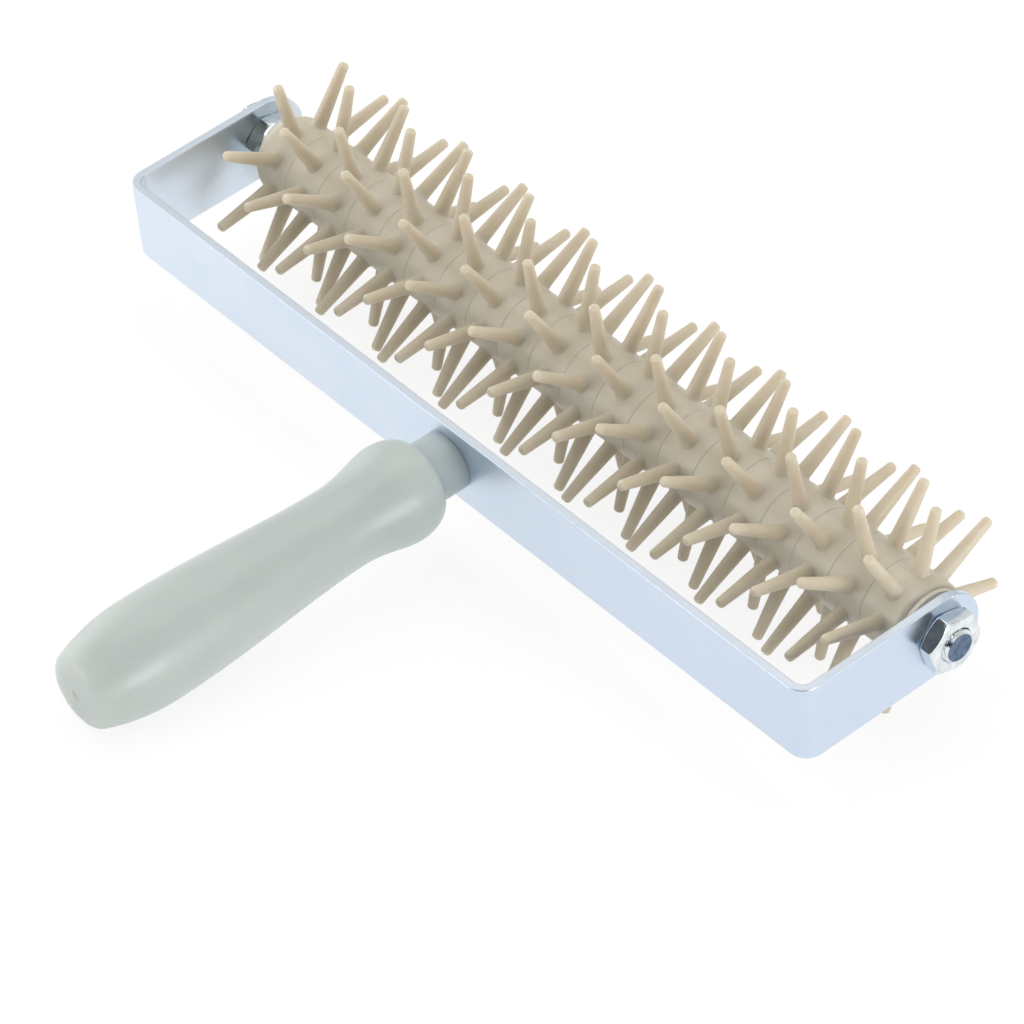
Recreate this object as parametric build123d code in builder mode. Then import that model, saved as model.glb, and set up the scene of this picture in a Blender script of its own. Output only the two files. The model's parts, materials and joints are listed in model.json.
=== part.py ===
"""Dough docker: a roller of plastic pin discs that spins on an axle in a steel yoke with a handle.

Frame: X runs along the roller's axle, -Y towards the handle, Z up, millimetres. The tool lies on a
table as it does when it is put down: on its lowest pins and on the swell of its handle. The
origin is on the table, under the middle of the whole tool. The yoke and the handle lean a little,
because the roller is the thicker end, so they are drawn in the plane `tool`, through the axle.
"""
from build123d import *
from math import asin, atan2, cos, degrees, hypot, radians, sin
import os

os.makedirs("parts", exist_ok=True)

# Pin discs: twenty equal mouldings in a row, each with one ring of pins
disc_count = 20
pins_per_disc = 8
disc_width = 10.6
disc_hub_radius = 9.6
disc_edge_round = 0.15
end_disc_edge_round = 1.2
pin_tip_radius = 25.4
pin_root_half_width = 1.75
pin_tip_half_width = 1.2
pin_tip_round = 0.8
pin_root_flare = 0.9
pin_root_sink = 0.6

# Core tube with one key along it, which the discs are pushed on. The key is loose in them, so each
# stands turned a little, by these degrees about the axle, from the left
core_outer_radius = 6.0
core_wall = 1.0
key_width = 2.0
key_height = 1.0
key_play = 0.6
disc_fit = 0.04
disc_turns = (4.5, -1, 3.5, -2, 1, 0.5, 1.5, 0.5, 1, 0, -0.5, -2, 2, -2.5, 4, 0.5, 2, 0.5, 3.5, -2)

# Flanged bushes in the ends of the tube
bush_flange_radius = 8.6
bush_flange_thickness = 1.0
bush_spigot_length = 8.0
bush_spigot_fit = 0.03
bush_running_clearance = 0.05
left_end_float = 0.6
right_end_float = 0.2

# Axle, nuts and washers
axle_radius = 4.0
axle_end_chamfer = 0.7
axle_stand_out = 0.9
nut_across_flats = 13.0
nut_height = 4.0
nut_chamfer_drop = 0.55
nut_turn = 45.0
thread_clearance = 0.03
washer_radius = 7.4
washer_thickness = 1.6
washer_clearance = 0.2

# Yoke, bent from one flat strip
strip_width = 20.0
strip_thickness = 2.0
bend_inner_radius = 2.5
yoke_depth = 39.0
strip_edge_round = 0.3
arm_hole_clearance = 0.1

# Handle, turned about its own axis; stations are measured from the back of the yoke. Behind its
# swell the outline is one arc, down to the flat end
handle_length = 100.6
neck_radius = 7.1
neck_length = 7.5
collar_radius = 11.6
collar_station = 15.2
taper_radius = 10.0
taper_station = 24.0
waist_radius = 9.5
waist_station = 33.5
grip_radius = 10.7
grip_station = 53.0
swell_radius = 12.05
swell_to_end = 18.8
end_radius = 8.35
end_round = 3.2
neck_edge_round = 0.4

# Threaded insert in the handle, and the screw that holds the handle to the yoke
insert_radius = 5.0
insert_length = 26.0
insert_groove_depth = 0.4
insert_groove_width = 2.0
insert_fit = 0.03
insert_hole_depth = 32.0
screw_radius = 3.0
screw_length = 30.0
screw_head_radius = 5.25
screw_head_height = 3.3
screw_head_flat_radius = 2.6
screw_socket_across_flats = 4.0
screw_socket_depth = 2.0
screw_hole_clearance = 0.3

# How far a cutting tool runs past the face that it starts from
overrun = 1.0

# Worked-out sizes
disc_pitch_angle = 360 / pins_per_disc
row_half_angle = disc_pitch_angle / 4
pin_tip_flat = pin_tip_half_width - pin_tip_round
tip_shoulder = pin_tip_radius - pin_tip_round
roller_length = disc_count * disc_width
left_stack = nut_height + washer_thickness + left_end_float + bush_flange_thickness
right_stack = washer_thickness + right_end_float + bush_flange_thickness
yoke_inner_length = left_stack + roller_length + right_stack
yoke_inner_half = yoke_inner_length / 2
yoke_outer_half = yoke_inner_half + strip_thickness
roller_left = -yoke_inner_half + left_stack
roller_right = roller_left + roller_length
core_inner_radius = core_outer_radius - core_wall
axle_half_length = yoke_outer_half + nut_height + axle_stand_out

# The table touches the pins that stand nearest to upright and the end arc of the handle, and that
# sets the lean. Every other disc is turned over, so its lowest pin tilts the other way
upright_turn = max(turn if index % 2 else -turn for index, turn in enumerate(disc_turns))
row_tilt = radians(row_half_angle - upright_turn)
axle_height = tip_shoulder * cos(row_tilt) + pin_tip_flat * sin(row_tilt) + pin_tip_round
swell_reach = yoke_depth + handle_length - swell_to_end
end_narrowing = swell_radius - end_radius
end_arc_radius = (swell_to_end**2 + end_narrowing**2) / (2 * end_narrowing)
arc_centre_lift = end_arc_radius - swell_radius
lean = atan2(arc_centre_lift, swell_reach) + asin(
    (axle_height - end_arc_radius) / hypot(arc_centre_lift, swell_reach)
)

# The origin is under the middle of the tool
back_reach = (yoke_depth + handle_length) * cos(lean) + (end_radius - end_round) * sin(lean)
front_reach = axle_height
axle_y = (back_reach - front_reach) / 2

# Planes through the axle: `tool` holds the yoke and the handle, `cross` is square to the axle
forward = (0, cos(lean), sin(lean))
backward = (0, -cos(lean), -sin(lean))
tool = Plane(origin=(0, axle_y, axle_height), x_dir=(1, 0, 0), z_dir=(0, -sin(lean), cos(lean)))
cross = Plane(origin=tool.origin, x_dir=forward, z_dir=(1, 0, 0))
level_cross = Plane(origin=tool.origin, x_dir=(0, 1, 0), z_dir=(1, 0, 0))
handle_line = Axis(tool.origin, backward)


def behind_axle(distance):
    """Plane square to the handle, this far behind the axle, facing the handle's end."""
    origin = tool.origin + Vector(backward) * distance
    return Plane(origin=origin, x_dir=(1, 0, 0), z_dir=backward)


def keep(piece, name):
    """Label a finished piece and write it to its own file."""
    piece.part.label = name
    export_step(piece.part, "parts/" + name + ".step")


# Yoke: the strip bent to a U, its arm ends rounded about the axle
with BuildPart() as yoke:
    with BuildSketch(tool):
        with BuildLine():
            outline = FilletPolyline(
                (-yoke_inner_half, strip_width),
                (-yoke_inner_half, strip_thickness - yoke_depth),
                (yoke_inner_half, strip_thickness - yoke_depth),
                (yoke_inner_half, strip_width),
                radius=bend_inner_radius,
            )
            offset(outline, amount=strip_thickness, side=Side.RIGHT)
        make_face()
    extrude(amount=strip_width / 2, both=True)
    with BuildSketch(cross.offset(-yoke_outer_half)):
        Circle(strip_width / 2)
        with Locations((-yoke_depth / 2, 0)):
            Rectangle(yoke_depth, strip_width)
    extrude(amount=yoke_outer_half * 2, mode=Mode.INTERSECT)
    edge_faces = yoke.faces().filter_by(tool)
    fillet(edge_faces.edges(), radius=strip_edge_round)
    with BuildSketch(cross.offset(-yoke_outer_half)):
        Circle(axle_radius + arm_hole_clearance)
    extrude(amount=yoke_outer_half * 2, mode=Mode.SUBTRACT)
    with BuildSketch(behind_axle(yoke_depth - strip_thickness - overrun)):
        Circle(screw_radius + screw_hole_clearance)
    extrude(amount=strip_thickness + overrun * 2, mode=Mode.SUBTRACT)
keep(yoke, "yoke")

# Handle: a turned file-handle shape with a blind hole for the insert
neck_end = yoke_depth + neck_length
collar_reach = yoke_depth + collar_station
with BuildPart() as handle:
    with BuildSketch(tool):
        with BuildLine():
            Polyline(
                (0, -yoke_depth),
                (neck_radius, -yoke_depth),
                (neck_radius, -neck_end),
            )
            EllipticalCenterArc(
                (neck_radius, -collar_reach),
                collar_radius - neck_radius,
                collar_reach - neck_end,
                arc_size=90,
            )
            Spline(
                (collar_radius, -collar_reach),
                (taper_radius, -yoke_depth - taper_station),
                (waist_radius, -yoke_depth - waist_station),
                (grip_radius, -yoke_depth - grip_station),
                (swell_radius, -swell_reach),
                tangents=[(0, -1), (0, -1)],
            )
            CenterArc(
                (-arc_centre_lift, -swell_reach),
                end_arc_radius,
                start_angle=0,
                arc_size=-degrees(atan2(swell_to_end, end_arc_radius - end_narrowing)),
            )
            Polyline(
                (end_radius, -yoke_depth - handle_length),
                (0, -yoke_depth - handle_length),
                (0, -yoke_depth),
            )
        make_face()
    revolve(axis=handle_line)
    rims = handle.edges().filter_by(GeomType.CIRCLE).sort_by(Axis(tool.origin, backward))
    fillet(rims[-1], radius=end_round)
    fillet(rims[0], radius=neck_edge_round)
    with BuildSketch(behind_axle(yoke_depth)):
        Circle(insert_radius + insert_fit)
    extrude(amount=insert_hole_depth, mode=Mode.SUBTRACT)
keep(handle, "handle")

# Threaded insert: a sleeve with two grooves round it that the handle's plastic is moulded into
with BuildPart() as handle_insert:
    with BuildSketch(behind_axle(yoke_depth)):
        Circle(insert_radius)
        Circle(screw_radius + thread_clearance, mode=Mode.SUBTRACT)
    extrude(amount=insert_length)
    for station in (insert_length / 3, insert_length * 2 / 3):
        with BuildSketch(behind_axle(yoke_depth + station - insert_groove_width / 2)):
            Circle(insert_radius + insert_fit)
            Circle(insert_radius - insert_groove_depth, mode=Mode.SUBTRACT)
        extrude(amount=insert_groove_width, mode=Mode.SUBTRACT)
keep(handle_insert, "handle_insert")

# Handle screw: a domed head with a hexagon socket, inside the yoke
head_seat = yoke_depth - strip_thickness
head_top = head_seat - screw_head_height
with BuildPart() as handle_screw:
    with BuildSketch(tool):
        with BuildLine():
            Line((0, -head_top), (screw_head_flat_radius, -head_top))
            EllipticalCenterArc(
                (screw_head_flat_radius, -head_seat),
                screw_head_radius - screw_head_flat_radius,
                screw_head_height,
                arc_size=90,
            )
            Polyline(
                (screw_head_radius, -head_seat),
                (screw_radius, -head_seat),
                (screw_radius, -head_seat - screw_length),
                (0, -head_seat - screw_length),
                (0, -head_top),
            )
        make_face()
    revolve(axis=handle_line)
    with BuildSketch(behind_axle(head_top)):
        RegularPolygon(screw_socket_across_flats / 2, 6, major_radius=False)
    extrude(amount=screw_socket_depth, mode=Mode.SUBTRACT)
keep(handle_screw, "handle_screw")

# Axle: a threaded rod, drawn plain at its outside diameter, with chamfered ends
with BuildPart() as axle_rod:
    with BuildSketch(cross.offset(-axle_half_length)):
        Circle(axle_radius)
    extrude(amount=axle_half_length * 2)
    chamfer(axle_rod.edges().filter_by(GeomType.CIRCLE), length=axle_end_chamfer)
keep(axle_rod, "axle_rod")

# Nuts: thin hexagon nuts; the corners of both ends are turned off to a shallow cone
nut_corner_radius = nut_across_flats / 2 / cos(radians(30))
chamfer_inset = nut_corner_radius - nut_across_flats / 2
nut_places = {
    "left_outer_nut": -yoke_outer_half - nut_height,
    "left_inner_nut": -yoke_inner_half,
    "right_outer_nut": yoke_outer_half,
}
for nut_name, nut_left in nut_places.items():
    with BuildPart() as nut:
        with BuildSketch(cross.offset(nut_left)):
            Circle(nut_corner_radius)
        extrude(amount=nut_height)
        chamfer(
            nut.edges().filter_by(GeomType.CIRCLE),
            length=nut_chamfer_drop,
            length2=chamfer_inset,
            reference=nut.faces().filter_by(GeomType.CYLINDER)[0],
        )
        with BuildSketch(cross.offset(nut_left)):
            RegularPolygon(nut_corner_radius, 6, rotation=nut_turn)
        extrude(amount=nut_height, mode=Mode.INTERSECT)
        with BuildSketch(cross.offset(nut_left)):
            Circle(axle_radius + thread_clearance)
        extrude(amount=nut_height, mode=Mode.SUBTRACT)
    keep(nut, nut_name)

# Washers: each is seated on what is beside it, the left one on the inner nut
washer_places = {
    "left_washer": -yoke_inner_half + nut_height,
    "right_washer": yoke_inner_half - washer_thickness,
}
for washer_name, washer_left in washer_places.items():
    with BuildPart() as washer:
        with BuildSketch(cross.offset(washer_left)):
            Circle(washer_radius)
            Circle(axle_radius + washer_clearance, mode=Mode.SUBTRACT)
        extrude(amount=washer_thickness)
    keep(washer, washer_name)

# Core tube: carries the discs; its key stands forward, level with the table
with BuildPart() as core_tube:
    with BuildSketch(level_cross.offset(roller_left)):
        Circle(core_outer_radius)
        with Locations((core_outer_radius, 0)):
            Rectangle(key_height * 2, key_width)
        Circle(core_inner_radius, mode=Mode.SUBTRACT)
    extrude(amount=roller_length)
keep(core_tube, "core_tube")

# Bushes: the spigot goes into the tube and the flange runs against the washer
for bush_name, mouth, inward in (
    ("left_bush", roller_left, 1),
    ("right_bush", roller_right, -1),
):
    with BuildPart() as bush:
        with BuildSketch(level_cross.offset(mouth)):
            Circle(bush_flange_radius)
        extrude(amount=-inward * bush_flange_thickness)
        with BuildSketch(level_cross.offset(mouth)):
            Circle(core_inner_radius - bush_spigot_fit)
        extrude(amount=inward * bush_spigot_length)
        with BuildSketch(level_cross.offset(mouth - inward * bush_flange_thickness)):
            Circle(axle_radius + bush_running_clearance)
        extrude(amount=inward * (bush_flange_thickness + bush_spigot_length), mode=Mode.SUBTRACT)
    keep(bush, bush_name)

# One pin, drawn along +X of a sketch: it flares at its root and is rounded at its tip
pin_root = disc_hub_radius - pin_root_sink
pin_taper_start = disc_hub_radius + pin_root_flare
with BuildPart() as pin:
    with BuildSketch():
        with BuildLine():
            Line((pin_root, 0), (pin_root, pin_root_half_width + pin_root_flare))
            TangentArc(
                (pin_taper_start, pin_root_half_width),
                (pin_root, pin_root_half_width + pin_root_flare),
                tangent=(-1, 0),
            )
            Line((pin_taper_start, pin_root_half_width), (tip_shoulder, pin_tip_half_width))
            TangentArc(
                (pin_tip_radius, pin_tip_flat),
                (tip_shoulder, pin_tip_half_width),
                tangent=(0, 1),
            )
            Polyline((pin_tip_radius, pin_tip_flat), (pin_tip_radius, 0), (pin_root, 0))
        make_face()
    revolve(axis=Axis.X)

# One disc, in the sketch plane's own frame: a keyed hub with its ring of pins at mid width
with BuildPart() as disc_blank:
    with BuildSketch(Plane.XY.offset(-disc_width / 2)):
        Circle(disc_hub_radius)
    extrude(amount=disc_width)
    for pin_index in range(pins_per_disc):
        with Locations(Location((0, 0, 0), (0, 0, row_half_angle + pin_index * disc_pitch_angle))):
            add(pin.part)
    with BuildSketch(Plane.XY.offset(-disc_width / 2)):
        Circle(core_outer_radius + disc_fit)
        with Locations((core_outer_radius, 0)):
            Rectangle((key_height + key_play) * 2, key_width + key_play * 2)
    extrude(amount=disc_width, mode=Mode.SUBTRACT)


def hub_rim(disc, side):
    """Rim of the hub: side 0 is the left one and side -1 the right one."""
    rims = disc.edges().filter_by(GeomType.CIRCLE).group_by(SortBy.RADIUS)[-1]
    return rims.sort_by(Axis.X)[side]


# Every other disc is turned over on the key, which staggers the rows of pins by half a step. The
# outer rims of the two end discs are rounded more than the rims between the discs
for disc_index in range(disc_count):
    middle = roller_left + (disc_index + 1 / 2) * disc_width
    turned_over = Location((0, 0, 0), (180 * (disc_index % 2), 0, 0))
    turned = Location((0, 0, 0), (0, 0, disc_turns[disc_index % len(disc_turns)]))
    left_round = disc_edge_round if disc_index else end_disc_edge_round
    right_round = disc_edge_round if disc_index < disc_count - 1 else end_disc_edge_round
    with BuildPart(level_cross.offset(middle)) as disc:
        with Locations(turned * turned_over):
            add(disc_blank.part)
        fillet(hub_rim(disc, 0), radius=left_round)
        fillet(hub_rim(disc, -1), radius=right_round)
    keep(disc, f"pin_disc_{disc_index + 1:02d}")
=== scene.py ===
"""Dough docker: a roller of plastic pin discs in a bright steel yoke with a pale plastic handle.

Metres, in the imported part's frame: X along the axle, -Y towards the handle, Z up from the table.
The yoke and the handle lie in one plane through the axle that leans a little. Places in it are
given in tool coordinates: x along the axle, y forward from the axle, z square to that plane.
"""
import json
import math

import bpy
import numpy as np
from mathutils import Matrix, Vector


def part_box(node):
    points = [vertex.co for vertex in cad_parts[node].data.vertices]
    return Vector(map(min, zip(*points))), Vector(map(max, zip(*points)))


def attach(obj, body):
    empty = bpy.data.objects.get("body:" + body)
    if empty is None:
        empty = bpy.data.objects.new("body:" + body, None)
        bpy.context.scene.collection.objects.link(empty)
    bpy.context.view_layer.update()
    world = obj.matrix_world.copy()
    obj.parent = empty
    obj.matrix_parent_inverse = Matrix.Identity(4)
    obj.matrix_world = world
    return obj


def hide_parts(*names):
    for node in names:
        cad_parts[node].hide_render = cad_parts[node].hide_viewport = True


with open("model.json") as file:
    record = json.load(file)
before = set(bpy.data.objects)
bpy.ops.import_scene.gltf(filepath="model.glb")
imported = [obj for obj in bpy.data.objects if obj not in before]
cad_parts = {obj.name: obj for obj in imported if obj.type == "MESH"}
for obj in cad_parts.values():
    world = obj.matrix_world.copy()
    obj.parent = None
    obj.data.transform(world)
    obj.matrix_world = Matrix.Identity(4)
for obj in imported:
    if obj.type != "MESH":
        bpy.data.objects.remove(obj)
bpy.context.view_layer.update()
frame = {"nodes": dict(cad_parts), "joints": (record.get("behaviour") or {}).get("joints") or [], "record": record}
scene = bpy.context.scene
MM = 0.001

# The tool's own directions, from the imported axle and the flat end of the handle
axle_joint = frame["joints"][0]
handle_end = next(mount for mount in frame["record"]["mounts"] if mount["name"] == "handle_end")
AXLE = np.array(axle_joint["pos_m"])
BACKWARD = np.array(handle_end["axis"])
RIGHT = np.array(axle_joint["axis"], float)
UPWARD = np.cross(BACKWARD, RIGHT)
LEAN = math.atan2(-BACKWARD[2], -BACKWARD[1])

# The photograph's camera: the point on its axis, where it stands, its reach and angle of view
AIM = Vector((25.86, 14.36, 25.01)) * MM
VIEW_AZIMUTH = math.radians(49.684)
VIEW_ELEVATION = math.radians(40.115)
VIEW_ROLL = math.radians(0.352)
VIEW_DISTANCE = 1225.1 * MM
VIEW_END = 100.0
FOCAL_PIXELS = 5808.2
PICTURE_PIXELS = 1024

# The room's light: its level on the far side and behind the camera, and a dark place low down
# there that the nuts and the left arm reflect. Spans are cosines of the angle from a direction.
CAMERA_SIDE = (0.583, -0.495, 0.644)
CAMERA_SIDE_SPAN = (-0.6, 0.8)
FAR_SKY = 0.76
NEAR_SKY = 0.64
DARK_PLACE = (0.579, -0.740, 0.342)
DARK_SPAN = (0.80, 0.93)
DARK_SHARE = 0.02

# Lamps: name, place in metres, width in metres and watts
LAMPS = (
    ("top_lamp", (-0.2, 0.35, 1.2), 1.0, 3.5),
    ("right_lamp", (1.08, 0.04, 0.2), 0.5, 5.4),
    ("left_lamp", (-1.0, -0.15, 0.45), 0.8, 2.8),
    ("front_lamp", (-0.45, -1.0, 0.25), 0.5, 3.4),
)

# Table: its colour where light falls on it, and how much of it looks plain white
TABLE_HALF_WIDTH = 6.0
TABLE_COLOUR = (0.95, 0.95, 0.95, 1)
TABLE_ROUGHNESS = 0.9
WHITE_LEVEL = 1.05
WHITE_SHARE = 0.8

# Yoke strip, the outer faces of its arms, and the narrow band along each cut edge that is greyer
STRIP_THICKNESS = 2.0 * MM
STRIP_HALF_WIDTH = 10.0 * MM
STRIP_HALF_SPAN = 113.0 * MM
GREY_BAND = 0.25 * MM
FULL_GREY_BAND = 0.1 * MM

# Handle, by distance behind the yoke's back face
HANDLE_LENGTH = 100.6 * MM
NECK_RADIUS = 7.1 * MM
NECK_LENGTH = 7.5 * MM
NECK_EDGE_ROUND = 0.4 * MM
COLLAR_RADIUS = 11.6 * MM
COLLAR_STATION = 15.2 * MM
TAPER_RADIUS = 10.0 * MM
TAPER_STATION = 24.0 * MM
WAIST_RADIUS = 9.5 * MM
WAIST_STATION = 33.5 * MM
GRIP_RADIUS = 10.7 * MM
GRIP_STATION = 53.0 * MM
SWELL_RADIUS = 12.05 * MM
SWELL_TO_END = 18.8 * MM
END_RADIUS = 8.35 * MM
END_ROUND = 3.2 * MM
PARTING_RIDGE = 0.03 * MM
PARTING_WIDTH = 0.22 * MM
RIDGE_CROWDING = 0.46
FLAT_RING_RADIUS = 3.0 * MM
GATE_RADIUS = 1.5 * MM
GATE_FLOOR_RADIUS = 1.35 * MM
GATE_MIDDLE_RADIUS = 0.45 * MM
GATE_DEPTH = 0.25 * MM
INSERT_HOLE_RADIUS = 5.0 * MM
INSERT_HOLE_MIDDLE_RADIUS = 2.5 * MM
INSERT_HOLE_DEPTH = 32.0 * MM

# Axle rod and what is on it
ROD_RADIUS = 4.0 * MM
ROD_CHAMFER = 0.7 * MM
THREAD_PITCH = 1.25 * MM
THREAD_DEPTH = 0.62 * MM
THREAD_FLAT_SHARE = 0.125
LEFT_THREAD_LENGTH = 13.0 * MM
RIGHT_THREAD_LENGTH = 9.0 * MM
HUB_RADIUS = 9.6 * MM
NUT_ACROSS_FLATS = 13.0 * MM
NUT_TURN = math.radians(15)
NUT_FACE_RADIUS = 6.2 * MM
NUT_CHAMFER_SLOPE = 0.5
NUT_MOUTH_RADIUS = 4.35 * MM
NUT_BORE_RADIUS = 4.03 * MM
NUT_EDGE_ROUND = 0.12 * MM
WASHER_BORE_RADIUS = 4.2 * MM
WASHER_ROLLED_EDGE = 0.45 * MM
WASHER_SHARP_EDGE = 0.12 * MM

# Handle screw, inside the yoke
SCREW_RADIUS = 3.0 * MM
SCREW_LENGTH = 30.0 * MM
SCREW_TIP_RADIUS = 2.2 * MM
SCREW_PITCH = 1.0 * MM
SCREW_THREAD_DEPTH = 0.45 * MM
HEAD_RADIUS = 5.25 * MM
HEAD_HEIGHT = 3.3 * MM
HEAD_FLAT_RADIUS = 2.75 * MM
SOCKET_ACROSS_FLATS = 4.0 * MM
SOCKET_DEPTH = 2.0 * MM
SOCKET_POINT_DEPTH = 2.4 * MM
SOCKET_POINT_SHARE = 0.05
SOCKET_EDGE = 0.15 * MM

# The yoke's back face, which the handle stands on, by distance behind the axle
BACK_FACE = np.dot(np.array(handle_end["pos_m"]) - AXLE, BACKWARD) - HANDLE_LENGTH

# How finely the surfaces are drawn: points along a form, and round it
EDGE_POINTS = 6
SHOULDER_POINTS = 28
GRIP_POINTS = 90
BACK_POINTS = 34
CORNER_POINTS = 14
DOME_POINTS = 16
POINTS_PER_TURN = 12
POINTS_PER_SCREW_TURN = 10
PLAIN_ROD_POINTS = 12
HANDLE_SIDES = 144
RING_SIDES = 96
ROUND_SIDES = 72

# In degrees: from these angles on, an edge of metal or plastic stays crisp, and a nut's is rounded
METAL_CREASE = 35
PLASTIC_CREASE = 40
NUT_ROUNDED_FROM = 15
ROUNDING_STEPS = 2

# Finishes. Three lengths are those of a patch of noise along tool x, y and z. Tones are a darker
# and a lighter colour, a roughness is a range, a relief is a depth, and a span is the part of the
# noise's values that is used.
WIDE_SPAN = (0.3, 0.7)
FIRM_SPAN = (0.35, 0.65)

STRIP_CLOUD = (18.0 * MM, 18.0 * MM, 12.0 * MM)
STRIP_LINES = (30.0 * MM, 30.0 * MM, 0.35 * MM)
STRIP_SPECK = (0.5 * MM, 0.5 * MM, 0.5 * MM)
STRIP_TONES = (0.70, 0.80, 0.91), (0.76, 0.84, 0.93)
# Painted shade: the darker blue the strip turns towards its right end, and how much of it is mixed in there
STRIP_RIGHT_PAINTED_SHADE = (0.61, 0.70, 0.84)
STRIP_RIGHT_PAINTED_SHADE_SHARE = 0.75
STRIP_EDGE_TONE = (0.58, 0.63, 0.69)
STRIP_ROUGHNESS = (0.26, 0.34)
STRIP_SMUDGE_SPAN = (0.4, 0.7)
STRIP_SMUDGE = 0.07
STRIP_EDGE_DULLNESS = 0.12
STRIP_LINE_RELIEF = 0.004 * MM
STRIP_SPECK_RELIEF = 0.002 * MM

HARDWARE_CLOUD = (2.5 * MM, 2.5 * MM, 2.5 * MM)
HARDWARE_SPECK = (0.25 * MM, 0.25 * MM, 0.25 * MM)
HARDWARE_TONES = (0.66, 0.72, 0.74), (0.86, 0.90, 0.91)
HARDWARE_ROUGHNESS = (0.08, 0.18)
HARDWARE_RELIEF = 0.004 * MM

CUT_MARKS = (4.0 * MM, 4.0 * MM, 0.2 * MM)
CUT_CLOUD = (2.0 * MM, 2.0 * MM, 2.0 * MM)
CUT_TONES = (0.09, 0.14, 0.21), (0.16, 0.23, 0.33)
CUT_ROUGHNESS = (0.32, 0.5)
CUT_RELIEF = 0.02 * MM

PIN_CLOUD = (9.0 * MM, 9.0 * MM, 9.0 * MM)
PIN_GRAIN = (0.6 * MM, 0.6 * MM, 0.6 * MM)
PIN_TONES = (0.555, 0.50, 0.38), (0.63, 0.57, 0.46)
PIN_ROUGHNESS = (0.36, 0.48)
PIN_RELIEF = 0.015 * MM
PIN_LIGHT_DEPTH = 4.0 * MM
HUB_TRANSLUCENCY = 0.15
PIN_TRANSLUCENCY = 0.7
TRANSLUCENCY_RUN = 2.0 * MM

HANDLE_FLOW = (14.0 * MM, 40.0 * MM, 14.0 * MM)
HANDLE_GRAIN = (0.5 * MM, 0.5 * MM, 0.5 * MM)
HANDLE_SCUFF = (2.0 * MM, 12.0 * MM, 2.0 * MM)
HANDLE_TONES = (0.455, 0.51, 0.495), (0.495, 0.55, 0.53)
HANDLE_SCUFF_SPAN = (0.35, 0.7)
HANDLE_ROUGHNESS = (0.38, 0.52)
HANDLE_GRAIN_RELIEF = 0.01 * MM
HANDLE_FLOW_RELIEF = 0.05 * MM
HANDLE_LIGHT_DEPTH = 14.0 * MM
HANDLE_TRANSLUCENCY = 0.9
HANDLE_GLOSS = 0.3

BEARING_CLOUD = (3.0 * MM, 3.0 * MM, 3.0 * MM)
BEARING_TONES = (0.70, 0.65, 0.54), (0.76, 0.71, 0.60)
BEARING_ROUGHNESS = (0.4, 0.55)
BEARING_RELIEF = 0.02 * MM
BEARING_LIGHT_DEPTH = 1.0 * MM
BEARING_TRANSLUCENCY = 0.2

TUBE_LINES = (60.0 * MM, 0.4 * MM, 0.4 * MM)
TUBE_TONES = (0.62, 0.63, 0.64), (0.75, 0.76, 0.77)
TUBE_ROUGHNESS = (0.25, 0.4)
TUBE_RELIEF = 0.005 * MM

BRASS_LINES = (8.0 * MM, 0.15 * MM, 8.0 * MM)
BRASS_TONES = (0.68, 0.50, 0.22), (0.80, 0.62, 0.32)
BRASS_ROUGHNESS = (0.2, 0.35)
BRASS_RELIEF = 0.01 * MM

TRANSLUCENT_TINT = (1.0, 0.8, 0.6)
COAT_ROUGHNESS = 0.25


def tool_point(x, y, z):
    """World place of tool coordinates: axle place + x right + y forward + z square to the plane."""
    x, y, z = np.broadcast_arrays(x, y, z)
    spread = x[..., None] * RIGHT - y[..., None] * BACKWARD + z[..., None] * UPWARD
    return AXLE + spread


def about_x(station, radius, angle):
    """A point at this station along the axle, at this radius, its angle measured from forward."""
    return tool_point(station, radius * np.cos(angle), radius * np.sin(angle))


def about_handle(station, radius, angle):
    """A point this far behind the axle, at this radius from the handle's line."""
    return tool_point(radius * np.cos(angle), -station, radius * np.sin(angle))


def angles(sides):
    """This many even angles round a full turn, from 0."""
    return np.linspace(0, 2 * math.pi, sides, endpoint=False)


def from_flat(angle):
    """Angle from the middle of the nearest of a hexagon's six flats."""
    sixth = math.pi / 3
    return angle % sixth - sixth / 2


def surface(name, rings, closed_along=False):
    """Mesh through a grid of points: rings of points one after the other, each ring closed.

    Neighbouring points make four-sided faces. The first and last ring either meet, as round a
    washer, or are closed by a fan about their middle, which is the pole where they shrink to one.
    Faces are turned so that the volume that they enclose is positive, which points them outwards.
    """
    rows, sides = rings.shape[:2]
    index = np.arange(rows * sides).reshape(rows, sides)
    if closed_along:
        index = np.vstack((index, index[:1]))
    following = np.roll(index, -1, axis=1)
    quads = np.stack((index[:-1], following[:-1], following[1:], index[1:]), -1).reshape(-1, 4)
    points = rings.reshape(-1, 3)
    faces = quads.tolist()
    if not closed_along:
        for row, order in ((0, 1), (rows - 1, -1)):
            pole = len(points)
            points = np.vstack((points, rings[row].mean(axis=0)))
            ring = np.stack((np.full(sides, pole), np.roll(index[row], -1), index[row]), -1)
            faces += ring[:, ::order].tolist()
    corners = points[quads] - points.mean(axis=0)
    volume = np.einsum("ij,ij->i", corners[:, 0], np.cross(corners[:, 1], corners[:, 2])).sum()
    volume += np.einsum("ij,ij->i", corners[:, 0], np.cross(corners[:, 2], corners[:, 3])).sum()
    if volume < 0:
        faces = [face[::-1] for face in faces]
    mesh = bpy.data.meshes.new(name)
    mesh.from_pydata(points.tolist(), [], faces)
    mesh.shade_smooth()
    piece = bpy.data.objects.new(name, mesh)
    scene.collection.objects.link(piece)
    return piece


def finish_piece(piece, body, material, node, crease):
    """Give the piece its finish, keep edges over the crease angle crisp and hang it on its body."""
    piece.data.materials.append(material)
    piece.data.set_sharp_from_angle(angle=math.radians(crease))
    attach(piece, body)
    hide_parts(node)


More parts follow.
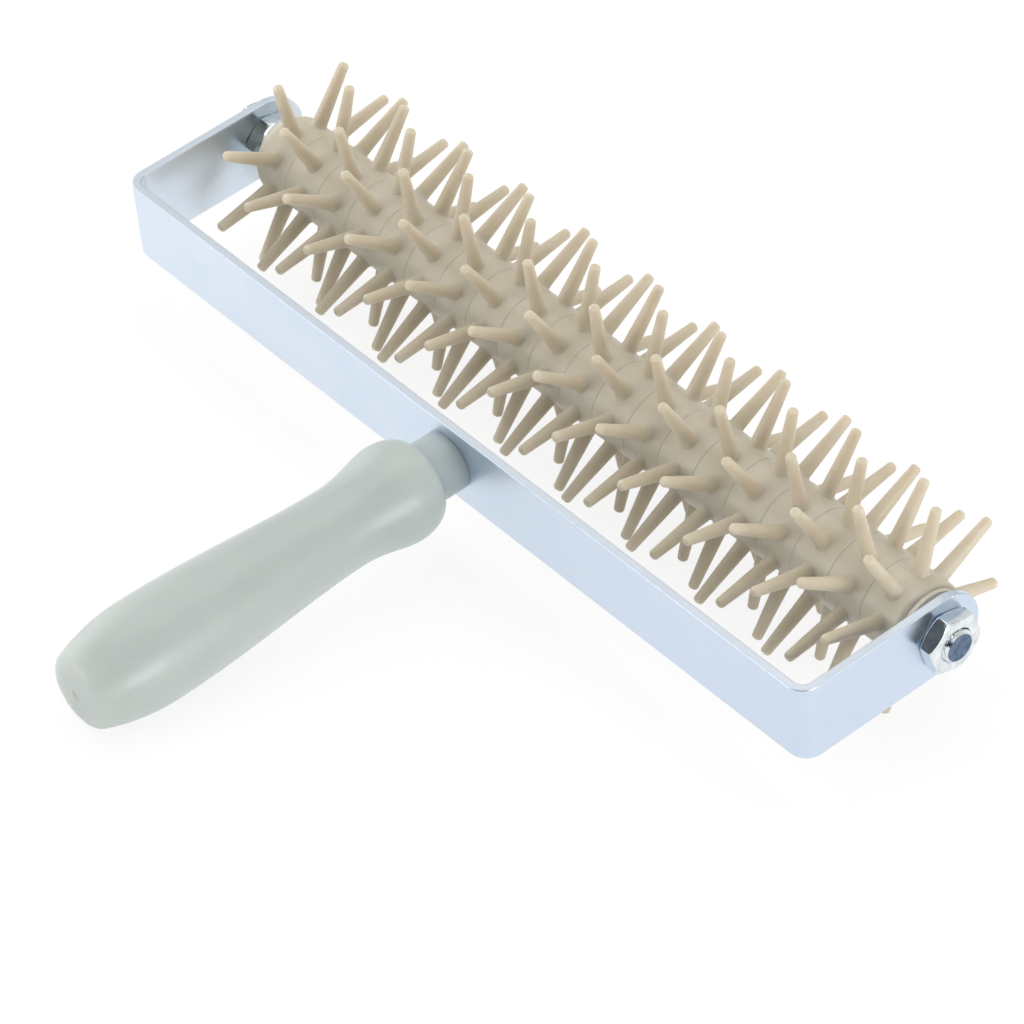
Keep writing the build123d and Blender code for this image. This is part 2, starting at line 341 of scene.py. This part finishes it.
def round_edges(piece, width, limit):
    """Round every edge that is sharper than the limit, in degrees."""
    bevel = piece.modifiers.new("rounded_edges", "BEVEL")
    bevel.width = width
    bevel.segments = ROUNDING_STEPS
    bevel.limit_method = "ANGLE"
    bevel.angle_limit = math.radians(limit)


def quarter(from_along, from_radius, to_along, to_radius, points, outward_first):
    """Quarter of an ellipse between two points of a profile.

    It starts square to the axis and ends level with it, or the other way round where outward_first
    is false.
    """
    turn = np.linspace(0, math.pi / 2, points)
    if outward_first:
        along = to_along + (from_along - to_along) * np.cos(turn)
        radius = from_radius + (to_radius - from_radius) * np.sin(turn)
    else:
        along = from_along + (to_along - from_along) * np.sin(turn)
        radius = to_radius + (from_radius - to_radius) * np.cos(turn)
    return np.stack((along, radius), 1)


def flowing_curve(stations, values, at):
    """Cubic curve through the stations, level at both ends, with an even bend at those between."""
    gaps = np.diff(stations)
    rises = np.diff(values) / gaps
    system = np.eye(len(stations))
    target = np.zeros(len(stations))
    for middle in range(1, len(stations) - 1):
        before, after = gaps[middle - 1], gaps[middle]
        system[middle, middle - 1 : middle + 2] = after, 2 * (before + after), before
        target[middle] = 3 * (after * rises[middle - 1] + before * rises[middle])
    slopes = np.linalg.solve(system, target)
    piece = np.clip(np.searchsorted(stations, at, side="right") - 1, 0, len(gaps) - 1)
    share = (at - stations[piece]) / gaps[piece]
    start, end = values[piece], values[piece + 1]
    lead, leave = slopes[piece] * gaps[piece], slopes[piece + 1] * gaps[piece]
    return (
        start * (1 + 2 * share) * (1 - share) ** 2
        + lead * share * (1 - share) ** 2
        + end * share**2 * (3 - 2 * share)
        + leave * share**2 * (share - 1)
    )


def handle_profile():
    """Outline of the handle as (distance behind the yoke, radius), from its neck to its end.

    It starts in the hole for the insert and ends in the gate mark, a shallow dimple in the flat end.
    A straight neck, a quarter ellipse up to the collar, one flowing curve through the taper, the
    waist and the grip to the swell, an arc from there that meets the end, and a rounded corner.
    """
    hole = np.array(
        (
            (INSERT_HOLE_DEPTH, INSERT_HOLE_MIDDLE_RADIUS),
            (INSERT_HOLE_DEPTH, INSERT_HOLE_RADIUS),
            (0, INSERT_HOLE_RADIUS),
        )
    )
    neck_start = NECK_RADIUS - NECK_EDGE_ROUND
    neck_edge = quarter(0, neck_start, NECK_EDGE_ROUND, NECK_RADIUS, EDGE_POINTS, True)
    shoulder = quarter(
        NECK_LENGTH, NECK_RADIUS, COLLAR_STATION, COLLAR_RADIUS, SHOULDER_POINTS, True
    )
    swell_station = HANDLE_LENGTH - SWELL_TO_END
    stations = np.array((COLLAR_STATION, TAPER_STATION, WAIST_STATION, GRIP_STATION, swell_station))
    radii = np.array((COLLAR_RADIUS, TAPER_RADIUS, WAIST_RADIUS, GRIP_RADIUS, SWELL_RADIUS))
    along = np.linspace(COLLAR_STATION, swell_station, GRIP_POINTS)[1:]
    grip = np.stack((along, flowing_curve(stations, radii, along)), 1)
    narrowing = SWELL_RADIUS - END_RADIUS
    arc_radius = (SWELL_TO_END**2 + narrowing**2) / (2 * narrowing)

    # The end corner is a circle that touches the arc from inside and the flat end
    corner_along = HANDLE_LENGTH - END_ROUND
    arc_centre = SWELL_RADIUS - arc_radius
    reach = math.sqrt((arc_radius - END_ROUND) ** 2 - (corner_along - swell_station) ** 2)
    corner_centre = arc_centre + reach
    touch = math.atan2(corner_along - swell_station, reach)
    sweep = np.linspace(0, touch, BACK_POINTS)[1:]
    back = np.stack(
        (swell_station + arc_radius * np.sin(sweep), arc_centre + arc_radius * np.cos(sweep)), 1
    )
    turn = np.linspace(touch, math.pi / 2, CORNER_POINTS)[1:]
    corner = np.stack(
        (corner_along + END_ROUND * np.sin(turn), corner_centre + END_ROUND * np.cos(turn)), 1
    )
    flat = np.array(
        (
            (HANDLE_LENGTH, FLAT_RING_RADIUS),
            (HANDLE_LENGTH, GATE_RADIUS),
            (HANDLE_LENGTH - GATE_DEPTH, GATE_FLOOR_RADIUS),
            (HANDLE_LENGTH - GATE_DEPTH, GATE_MIDDLE_RADIUS),
        )
    )
    neck = np.array(((NECK_LENGTH / 2, NECK_RADIUS),))
    return np.vstack((hole, neck_edge, neck, shoulder, grip, back, corner, flat))


def make_handle(material):
    """The profile turned about the handle's line, with the faint ridges of the two mould halves.

    radius(station, angle) = profile radius + ridge * exp(-(arc length from the ridge / width)^2),
    with a ridge on the left and the right. It leaves out the hole and the middle of the flat end.
    Angles are closer together near the ridges.
    """
    profile = handle_profile()
    even = angles(HANDLE_SIDES)
    angle = even - RIDGE_CROWDING * np.sin(2 * even)
    along, radius = profile[:, :1], profile[:, 1:]
    from_ridge = np.arcsin(np.abs(np.sin(angle)))[None, :] * radius
    ridge = PARTING_RIDGE * np.exp(-((from_ridge / PARTING_WIDTH) ** 2))
    ridge = np.where(radius <= INSERT_HOLE_RADIUS, 0, ridge)
    rings = about_handle(BACK_FACE + along, radius + ridge, angle[None, :])
    piece = surface("turned_handle", rings)
    finish_piece(piece, "frame", material, "handle", PLASTIC_CREASE)


def thread_radius(station, angle, pitch, depth, outer):
    """Radius of a thread: a rounded wave that climbs one pitch in each turn, with flat crests."""
    turn = (station / pitch - angle / (2 * math.pi)) % 1
    steepness = 1 + 2 * THREAD_FLAT_SHARE
    wave = np.clip(np.abs(2 * turn - 1) * steepness - THREAD_FLAT_SHARE, 0, 1)
    return outer - depth * (3 - 2 * wave) * wave**2


def make_rod(material, end_material):
    """Round rod with a thread cut at each end, faded into the plain middle, and chamfered ends.

    radius(x, angle) = least of the thread's radius and a cone that falls to each end.
    """
    low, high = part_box("axle_rod")
    left, right = low.x, high.x
    step = THREAD_PITCH / POINTS_PER_TURN
    left_run_out, right_run_out = left + LEFT_THREAD_LENGTH, right - RIGHT_THREAD_LENGTH
    stations = np.concatenate(
        (
            np.arange(left, left_run_out, step),
            np.linspace(left_run_out, right_run_out, PLAIN_ROD_POINTS),
            np.arange(right_run_out + step, right, step),
            (right,),
        )
    )[:, None]
    angle = angles(ROUND_SIDES)[None, :]
    fade_left = np.clip((left_run_out - stations) / THREAD_PITCH, 0, 1)
    fade_right = np.clip((stations - right_run_out) / THREAD_PITCH, 0, 1)
    depth = THREAD_DEPTH * np.maximum(fade_left, fade_right)
    radius = thread_radius(stations, angle, THREAD_PITCH, depth, ROD_RADIUS)
    from_end = np.minimum(stations - left, right - stations)
    radius = np.minimum(radius, ROD_RADIUS - ROD_CHAMFER + from_end)
    piece = surface("threaded_rod", about_x(stations, radius, angle))
    piece.data.materials.append(material)
    finish_piece(piece, "frame", end_material, "axle_rod", METAL_CREASE)
    centres = np.empty((len(piece.data.polygons), 3))
    piece.data.polygons.foreach_get("center", centres.ravel())
    on_end = np.abs(centres[:, 0]) > right - step / 4
    piece.data.polygons.foreach_set("material_index", on_end.astype(np.int32))


def make_nut(node, material):
    """Hexagon nut, its ends turned to a cone and its bore countersunk.

    At each angle the flat's radius is half the width across flats over the cosine of the angle
    from the flat's middle. The cone starts at the face radius and falls by the slope outwards.
    """
    low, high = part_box(node)
    left, right = low.x, high.x
    angle = angles(RING_SIDES)
    flat = NUT_ACROSS_FLATS / 2 / np.cos(from_flat(angle + NUT_TURN))
    drop = (flat - NUT_FACE_RADIUS) * NUT_CHAMFER_SLOPE
    same = np.ones_like(angle)
    mouth_drop = (NUT_MOUTH_RADIUS - NUT_BORE_RADIUS) * same
    rows = (
        (left + mouth_drop, NUT_BORE_RADIUS * same),
        (left * same, NUT_MOUTH_RADIUS * same),
        (left * same, NUT_FACE_RADIUS * same),
        (left + drop, flat),
        (right - drop, flat),
        (right * same, NUT_FACE_RADIUS * same),
        (right * same, NUT_MOUTH_RADIUS * same),
        (right - mouth_drop, NUT_BORE_RADIUS * same),
    )
    rings = np.stack([about_x(station, radius, angle) for station, radius in rows])
    piece = surface(node.replace("nut", "hexagon_nut"), rings, closed_along=True)
    round_edges(piece, NUT_EDGE_ROUND, NUT_ROUNDED_FROM)
    finish_piece(piece, "frame", material, node, METAL_CREASE)


def make_washer(node, rolled_side, material):
    """Punched ring: the side that faced the punch has rolled edges and the other has crisp ones.

    Its profile is four quarter circles at the corners of a rectangle, turned about the axle.
    """
    low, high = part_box(node)
    outer = (high.y - low.y) / 2
    left, right = low.x, high.x
    left_edge, right_edge = WASHER_ROLLED_EDGE, WASHER_SHARP_EDGE
    if rolled_side == "right":
        left_edge, right_edge = right_edge, left_edge
    bore = WASHER_BORE_RADIUS
    profile = np.vstack(
        (
            quarter(right, bore + right_edge, right - right_edge, bore, EDGE_POINTS, False),
            quarter(left + left_edge, bore, left, bore + left_edge, EDGE_POINTS, True),
            quarter(left, outer - left_edge, left + left_edge, outer, EDGE_POINTS, True),
            quarter(right - right_edge, outer, right, outer - right_edge, EDGE_POINTS, False),
        )
    )
    rings = about_x(profile[:, :1], profile[:, 1:], angles(RING_SIDES)[None, :])
    piece = surface(node.replace("washer", "punched_washer"), rings, closed_along=True)
    finish_piece(piece, "frame", material, node, METAL_CREASE)


def make_handle_screw(material):
    """Domed screw head with a hexagon socket, and a threaded shank down to a cone point.

    In the socket the radius follows a hexagon: half its width over the cosine of the angle from
    the flat's middle. Outside it the radius is a profile turned about the handle's line.
    """
    seat = BACK_FACE - STRIP_THICKNESS
    top = seat - HEAD_HEIGHT
    tip = seat + SCREW_LENGTH
    angle = angles(ROUND_SIDES)
    hexagon = SOCKET_ACROSS_FLATS / 2 / np.cos(from_flat(angle))
    socket_stations = (top + SOCKET_POINT_DEPTH, top + SOCKET_DEPTH, top + SOCKET_EDGE, top)
    socket = np.stack((SOCKET_POINT_SHARE * hexagon, hexagon, hexagon, hexagon + SOCKET_EDGE))
    dome = quarter(top, HEAD_FLAT_RADIUS, seat, HEAD_RADIUS, DOME_POINTS, True)
    turned = np.vstack((dome, (seat, SCREW_RADIUS)))
    shank_stations = np.arange(seat, tip, SCREW_PITCH / POINTS_PER_SCREW_TURN)[1:, None]
    thread = thread_radius(shank_stations, angle, SCREW_PITCH, SCREW_THREAD_DEPTH, SCREW_RADIUS)
    shank = np.minimum(thread, SCREW_TIP_RADIUS + tip - shank_stations)
    stations = np.concatenate((socket_stations, turned[:, 0], shank_stations[:, 0], (tip,)))
    turned_radii = np.repeat(turned[:, 1:], ROUND_SIDES, axis=1)
    tip_radii = np.full((1, ROUND_SIDES), SCREW_TIP_RADIUS)
    radii = np.vstack((socket, turned_radii, shank, tip_radii))
    rings = about_handle(stations[:, None], radii, angle[None, :])
    piece = surface("socket_screw", rings)
    finish_piece(piece, "frame", material, "handle_screw", METAL_CREASE)


class Finish:
    """A node material with the few steps that the finishes of this tool share."""

    def __init__(self, name, metallic=0.0, translucency=0.0, light_depth=0.0, gloss=0.0):
        self.material = bpy.data.materials.new(name)
        self.material.use_nodes = True
        self.nodes = self.material.node_tree.nodes
        self.links = self.material.node_tree.links
        self.shader = self.nodes["Principled BSDF"]
        self.shader.inputs["Metallic"].default_value = metallic
        self.shader.inputs["Subsurface Weight"].default_value = translucency
        self.shader.inputs["Subsurface Radius"].default_value = TRANSLUCENT_TINT
        self.shader.inputs["Subsurface Scale"].default_value = light_depth
        self.shader.inputs["Coat Weight"].default_value = gloss
        self.shader.inputs["Coat Roughness"].default_value = COAT_ROUGHNESS
        place = self.nodes.new("ShaderNodeTexCoord")
        lean = self.nodes.new("ShaderNodeMapping")
        lean.vector_type = "TEXTURE"
        lean.inputs["Location"].default_value = AXLE
        lean.inputs["Rotation"].default_value = (LEAN, 0, 0)
        self.links.new(place.outputs["Object"], lean.inputs["Vector"])
        self.place = lean.outputs["Vector"]

    def noise(self, grain, detail=3.0, rough=0.5, warp=0.0):
        """Cloudy noise whose patches are about grain long, in metres along tool x, y and z."""
        stretch = self.nodes.new("ShaderNodeVectorMath")
        stretch.operation = "DIVIDE"
        stretch.inputs[1].default_value = grain
        self.links.new(self.place, stretch.inputs[0])
        noise = self.nodes.new("ShaderNodeTexNoise")
        noise.inputs["Scale"].default_value = 1.0
        noise.inputs["Detail"].default_value = detail
        noise.inputs["Roughness"].default_value = rough
        noise.inputs["Distortion"].default_value = warp
        self.links.new(stretch.outputs["Vector"], noise.inputs["Vector"])
        return noise.outputs["Fac"]

    def between(self, value, span, result=(0, 1)):
        """Stretch a value's span onto the range of the result, held at both ends."""
        stretch = self.nodes.new("ShaderNodeMapRange")
        for socket, number in zip(("From Min", "From Max", "To Min", "To Max"), (*span, *result)):
            stretch.inputs[socket].default_value = number
        self.links.new(value, stretch.inputs["Value"])
        return stretch.outputs["Result"]

    def combine(self, operation, first, second=0.0):
        """Result of a calculation on one or two values, each a number or a socket."""
        step = self.nodes.new("ShaderNodeMath")
        step.operation = operation
        for socket, value in zip(step.inputs, (first, second)):
            if isinstance(value, (int, float)):
                socket.default_value = value
            else:
                self.links.new(value, socket)
        return step.outputs["Value"]

    def cloudy(self, cloud, span, tones):
        """Colour between two tones, as the cloud goes through its span."""
        return self.tint(self.between(cloud, span), *tones)

    def tint(self, share, low_colour, high_colour):
        """Colour between two, by a share from 0 to 1. A colour may be a socket."""
        mix = self.nodes.new("ShaderNodeMix")
        mix.data_type = "RGBA"
        self.links.new(share, mix.inputs["Factor"])
        colour_sockets = [socket for socket in mix.inputs if socket.type == "RGBA"]
        for socket, colour in zip(colour_sockets, (low_colour, high_colour)):
            if isinstance(colour, tuple):
                socket.default_value = (*colour, 1)
            else:
                self.links.new(colour, socket)
        return next(socket for socket in mix.outputs if socket.type == "RGBA")

    def axis(self, name):
        """One tool coordinate of the surface point."""
        split = self.nodes.new("ShaderNodeSeparateXYZ")
        self.links.new(self.place, split.inputs["Vector"])
        return split.outputs[name]

    def relief(self, height, depth):
        """Bump by a height from 0 to 1 that stands for this depth in metres."""
        bump = self.nodes.new("ShaderNodeBump")
        bump.inputs["Distance"].default_value = depth
        self.links.new(height, bump.inputs["Height"])
        normal = self.shader.inputs["Normal"]
        if normal.is_linked:
            self.links.new(normal.links[0].from_socket, bump.inputs["Normal"])
        self.links.new(bump.outputs["Normal"], normal)

    def wear(self, colour, roughness):
        """Put a colour and a roughness on the surface and give back the material."""
        self.links.new(colour, self.shader.inputs["Base Color"])
        self.links.new(roughness, self.shader.inputs["Roughness"])
        return self.material


def plated_strip():
    """Bright zinc on rolled flat steel: pale sky blue, faint rolling lines, greyer cut edges.

    Shade is painted in: the blue deepens a little towards the right end, standing in for the dimmer light there.
    """
    finish = Finish("plated_strip", metallic=1.0)
    cloud = finish.noise(STRIP_CLOUD, detail=4, warp=0.6)
    lines = finish.noise(STRIP_LINES, detail=3, rough=0.6)
    speck = finish.noise(STRIP_SPECK, detail=2)
    colour = finish.cloudy(cloud, FIRM_SPAN, STRIP_TONES)
    whole_span = (-STRIP_HALF_SPAN, STRIP_HALF_SPAN)
    # Painted shade: the colour turns a darker blue towards the right end, standing in for dimmer light
    rightward_painted_shade = finish.between(finish.axis("X"), whole_span, (0, STRIP_RIGHT_PAINTED_SHADE_SHARE))
    colour = finish.tint(rightward_painted_shade, colour, STRIP_RIGHT_PAINTED_SHADE)
    band = (STRIP_HALF_WIDTH - GREY_BAND, STRIP_HALF_WIDTH - FULL_GREY_BAND)
    edge = finish.between(finish.combine("ABSOLUTE", finish.axis("Z")), band)
    colour = finish.tint(edge, colour, STRIP_EDGE_TONE)
    rough = finish.between(lines, WIDE_SPAN, STRIP_ROUGHNESS)
    smudge = finish.between(cloud, STRIP_SMUDGE_SPAN, (0, STRIP_SMUDGE))
    rough = finish.combine("ADD", rough, smudge)
    rough = finish.combine("ADD", rough, finish.combine("MULTIPLY", edge, STRIP_EDGE_DULLNESS))
    finish.relief(lines, STRIP_LINE_RELIEF)
    finish.relief(speck, STRIP_SPECK_RELIEF)
    return finish.wear(colour, rough)


def plated_hardware():
    """Bright zinc on turned and pressed steel: greyer than the strip, with small dull patches."""
    finish = Finish("plated_hardware", metallic=1.0)
    cloud = finish.noise(HARDWARE_CLOUD, detail=4, warp=0.5)
    speck = finish.noise(HARDWARE_SPECK, detail=2)
    finish.relief(speck, HARDWARE_RELIEF)
    colour = finish.cloudy(cloud, FIRM_SPAN, HARDWARE_TONES)
    return finish.wear(colour, finish.between(cloud, WIDE_SPAN, HARDWARE_ROUGHNESS))


def cut_steel():
    """The sawn end of the rod: dark blue-grey with fine marks across it."""
    finish = Finish("cut_steel", metallic=1.0)
    marks = finish.noise(CUT_MARKS, detail=3)
    cloud = finish.noise(CUT_CLOUD, detail=3)
    finish.relief(marks, CUT_RELIEF)
    colour = finish.cloudy(cloud, FIRM_SPAN, CUT_TONES)
    return finish.wear(colour, finish.between(marks, WIDE_SPAN, CUT_ROUGHNESS))


def pin_plastic():
    """Beige moulded plastic, satin, a little uneven in tone and slightly translucent.

    The thin pins let more light through than the hub does. The share rises with the distance from
    the axle, which is the root of forward^2 + upward^2.
    """
    finish = Finish("pin_plastic", light_depth=PIN_LIGHT_DEPTH)
    cloud = finish.noise(PIN_CLOUD, detail=3)
    grain = finish.noise(PIN_GRAIN, detail=3)
    finish.relief(grain, PIN_RELIEF)
    forward = finish.combine("POWER", finish.axis("Y"), 2.0)
    upward = finish.combine("POWER", finish.axis("Z"), 2.0)
    from_axle = finish.combine("SQRT", finish.combine("ADD", forward, upward))
    pin_root = (HUB_RADIUS, HUB_RADIUS + TRANSLUCENCY_RUN)
    translucency = finish.between(from_axle, pin_root, (HUB_TRANSLUCENCY, PIN_TRANSLUCENCY))
    finish.links.new(translucency, finish.shader.inputs["Subsurface Weight"])
    colour = finish.cloudy(cloud, WIDE_SPAN, PIN_TONES)
    return finish.wear(colour, finish.between(grain, WIDE_SPAN, PIN_ROUGHNESS))


def handle_plastic():
    """Pale greenish white moulded plastic: satin, slightly translucent, with faint flow marks."""
    finish = Finish(
        "handle_plastic",
        translucency=HANDLE_TRANSLUCENCY,
        light_depth=HANDLE_LIGHT_DEPTH,
        gloss=HANDLE_GLOSS,
    )
    flow = finish.noise(HANDLE_FLOW, detail=3, warp=0.8)
    grain = finish.noise(HANDLE_GRAIN, detail=3)
    scuff = finish.noise(HANDLE_SCUFF, detail=5, rough=0.65)
    finish.relief(grain, HANDLE_GRAIN_RELIEF)
    finish.relief(flow, HANDLE_FLOW_RELIEF)
    colour = finish.cloudy(flow, WIDE_SPAN, HANDLE_TONES)
    return finish.wear(colour, finish.between(scuff, HANDLE_SCUFF_SPAN, HANDLE_ROUGHNESS))


def bearing_plastic():
    """Pale ivory plastic of the bushes: dull, with a faint cloud in tone and height."""
    finish = Finish(
        "bearing_plastic", translucency=BEARING_TRANSLUCENCY, light_depth=BEARING_LIGHT_DEPTH
    )
    cloud = finish.noise(BEARING_CLOUD)
    finish.relief(cloud, BEARING_RELIEF)
    colour = finish.tint(cloud, *BEARING_TONES)
    return finish.wear(colour, finish.between(cloud, WIDE_SPAN, BEARING_ROUGHNESS))


def drawn_tube():
    """Grey drawn steel tube with faint lines along it."""
    finish = Finish("drawn_tube", metallic=1.0)
    lines = finish.noise(TUBE_LINES, detail=3)
    finish.relief(lines, TUBE_RELIEF)
    colour = finish.tint(lines, *TUBE_TONES)
    return finish.wear(colour, finish.between(lines, WIDE_SPAN, TUBE_ROUGHNESS))


def turned_brass():
    """Yellow brass with fine turning marks round it."""
    finish = Finish("turned_brass", metallic=1.0)
    lines = finish.noise(BRASS_LINES, detail=3)
    finish.relief(lines, BRASS_RELIEF)
    colour = finish.tint(lines, *BRASS_TONES)
    return finish.wear(colour, finish.between(lines, WIDE_SPAN, BRASS_ROUGHNESS))


def dress(material, *names):
    """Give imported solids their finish."""
    for name in names:
        solid = frame["nodes"][name]
        solid.data.materials.clear()
        solid.data.materials.append(material)


def make_camera():
    """The camera stands back from its aim point along the direction given by azimuth and elevation."""
    level = math.cos(VIEW_ELEVATION)
    back = Vector(
        (level * math.sin(VIEW_AZIMUTH), -level * math.cos(VIEW_AZIMUTH), math.sin(VIEW_ELEVATION))
    )
    right = Vector((math.cos(VIEW_AZIMUTH), math.sin(VIEW_AZIMUTH), 0))
    turn = Matrix((right, back.cross(right), back)).transposed()
    turn = turn @ Matrix.Rotation(VIEW_ROLL, 3, "Z")
    data = bpy.data.cameras.new("camera")
    data.sensor_fit = "HORIZONTAL"
    data.lens = data.sensor_width * FOCAL_PIXELS / PICTURE_PIXELS
    data.clip_end = VIEW_END
    camera = bpy.data.objects.new("camera", data)
    camera.matrix_world = Matrix.Translation(AIM + back * VIEW_DISTANCE) @ turn.to_4x4()
    scene.collection.objects.link(camera)
    scene.camera = camera


def by_nearness(tree, direction, span, low, high):
    """Value from low to high by the cosine of the angle from this direction, smooth in its span."""
    place = tree.nodes.new("ShaderNodeTexCoord")
    near = tree.nodes.new("ShaderNodeVectorMath")
    near.operation = "DOT_PRODUCT"
    near.inputs[1].default_value = direction
    tree.links.new(place.outputs["Generated"], near.inputs[0])
    stretch = tree.nodes.new("ShaderNodeMapRange")
    stretch.interpolation_type = "SMOOTHSTEP"
    for socket, number in zip(("From Min", "From Max", "To Min", "To Max"), (*span, low, high)):
        stretch.inputs[socket].default_value = number
    tree.links.new(near.outputs["Value"], stretch.inputs["Value"])
    return stretch.outputs["Result"]


def make_world():
    """A plain pale room that is dimmer on the camera's side, with one dark place low down there.

    Its strength is the level by nearness to the camera's side, times 1 that falls to the dark
    share near the dark place.
    """
    world = bpy.data.worlds.new("studio")
    scene.world = world
    world.use_nodes = True
    tree = world.node_tree
    level = by_nearness(tree, CAMERA_SIDE, CAMERA_SIDE_SPAN, FAR_SKY, NEAR_SKY)
    shade = by_nearness(tree, DARK_PLACE, DARK_SPAN, 1.0, DARK_SHARE)
    product = tree.nodes.new("ShaderNodeMath")
    product.operation = "MULTIPLY"
    tree.links.new(level, product.inputs[0])
    tree.links.new(shade, product.inputs[1])
    background = tree.nodes["Background"]
    background.inputs["Color"].default_value = (1, 1, 1, 1)
    tree.links.new(product.outputs["Value"], background.inputs["Strength"])


def make_floor():
    """A wide white table: white to the camera and in reflections, with the soft shadow kept."""
    half = TABLE_HALF_WIDTH
    corners = [(-half, -half, 0), (half, -half, 0), (half, half, 0), (-half, half, 0)]
    mesh = bpy.data.meshes.new("floor")
    mesh.from_pydata(corners, [], [(0, 1, 2, 3)])
    floor = bpy.data.objects.new("floor", mesh)
    scene.collection.objects.link(floor)
    material = bpy.data.materials.new("white_table")
    material.use_nodes = True
    nodes, links = material.node_tree.nodes, material.node_tree.links
    principled = nodes["Principled BSDF"]
    principled.inputs["Base Color"].default_value = TABLE_COLOUR
    principled.inputs["Roughness"].default_value = TABLE_ROUGHNESS
    principled.inputs["Specular IOR Level"].default_value = 0.0
    glow = nodes.new("ShaderNodeEmission")
    glow.inputs["Strength"].default_value = WHITE_LEVEL
    path = nodes.new("ShaderNodeLightPath")
    seen = path.outputs["Is Camera Ray"]
    for other in ("Is Glossy Ray", "Is Transmission Ray"):
        either = nodes.new("ShaderNodeMath")
        either.operation = "MAXIMUM"
        links.new(seen, either.inputs[0])
        links.new(path.outputs[other], either.inputs[1])
        seen = either.outputs["Value"]
    share = nodes.new("ShaderNodeMath")
    share.operation = "MULTIPLY"
    share.inputs[1].default_value = WHITE_SHARE
    links.new(seen, share.inputs[0])
    mix = nodes.new("ShaderNodeMixShader")
    links.new(share.outputs["Value"], mix.inputs["Fac"])
    links.new(principled.outputs["BSDF"], mix.inputs[1])
    links.new(glow.outputs["Emission"], mix.inputs[2])
    links.new(mix.outputs["Shader"], nodes["Material Output"].inputs["Surface"])
    mesh.materials.append(material)


def make_lamp(name, place, width, watts):
    """A soft square lamp that points at the tool."""
    data = bpy.data.lights.new(name, "AREA")
    data.size = width
    data.energy = watts
    lamp = bpy.data.objects.new(name, data)
    lamp.location = place
    lamp.rotation_euler = (-Vector(place)).to_track_quat("-Z", "Y").to_euler()
    scene.collection.objects.link(lamp)


scene.view_settings.view_transform = "Standard"
make_camera()
make_world()
make_floor()
for lamp in LAMPS:
    make_lamp(*lamp)

hardware_finish = plated_hardware()
dress(plated_strip(), "yoke")
dress(bearing_plastic(), "left_bush", "right_bush")
dress(drawn_tube(), "core_tube")
dress(turned_brass(), "handle_insert")
dress(pin_plastic(), *[name for name in frame["nodes"] if name.startswith("pin_disc_")])
make_handle(handle_plastic())
make_rod(hardware_finish, cut_steel())
for nut in ("left_outer_nut", "left_inner_nut", "right_outer_nut"):
    make_nut(nut, hardware_finish)
make_washer("left_washer", "right", hardware_finish)
make_washer("right_washer", "left", hardware_finish)
make_handle_screw(hardware_finish)
